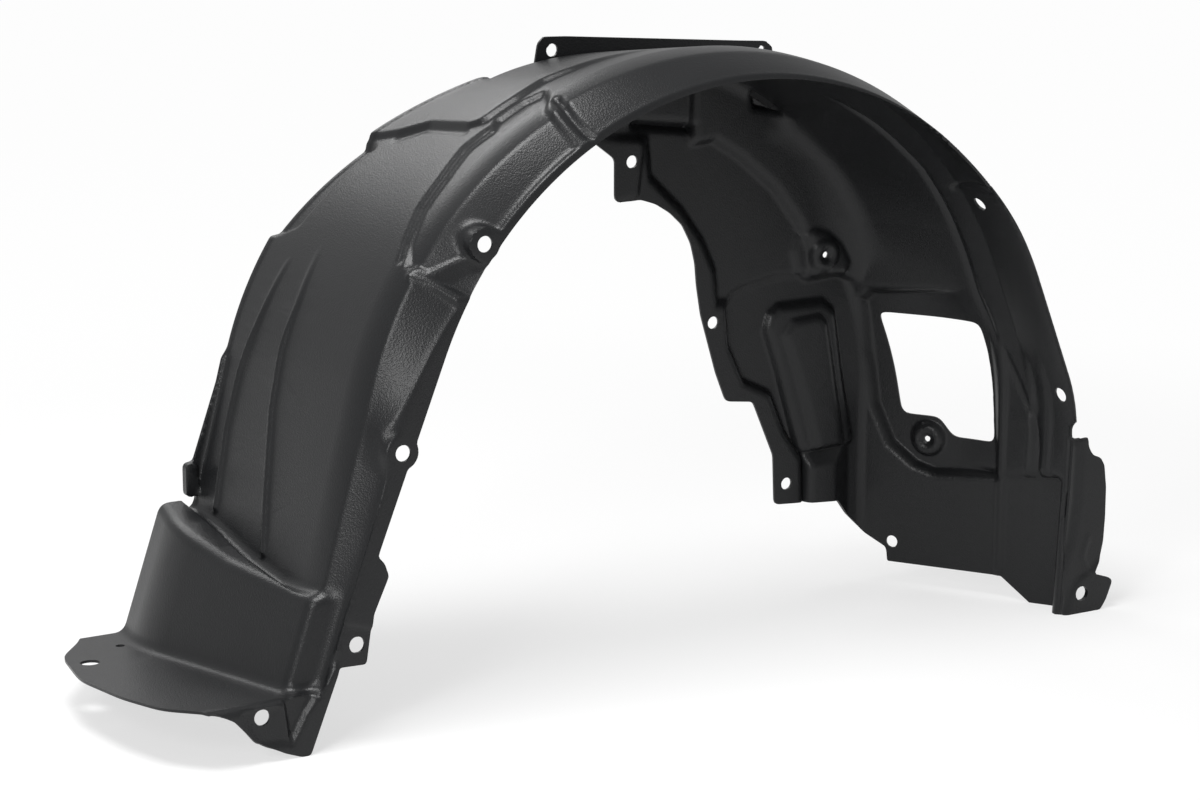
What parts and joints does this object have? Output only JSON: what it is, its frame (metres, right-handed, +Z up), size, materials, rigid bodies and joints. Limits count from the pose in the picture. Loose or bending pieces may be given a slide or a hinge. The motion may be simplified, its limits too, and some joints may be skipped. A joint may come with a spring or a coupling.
{
  "type": "wheel arch liner",
  "caption": "Moulded plastic liner for a car's front wheel arch: a shell over the wheel with an inner side wall, fastening tabs and a foot at the front.",
  "frame": {"origin": "centre of the bounding box at the floor", "axes": "+Z up; +X from the front leg to the rear leg of the arch, seen from the outside of the car; +Y from the wing's edge to the engine side"},
  "size_m": [1.0328, 0.3002, 0.584],
  "materials": {
    "moulded_plastic": "black polypropylene with a fine leather-like grain, slightly glossy"
  },
  "bodies": {
    "root": {"liner": "moulded_plastic"}
  },
  "joints": []
}
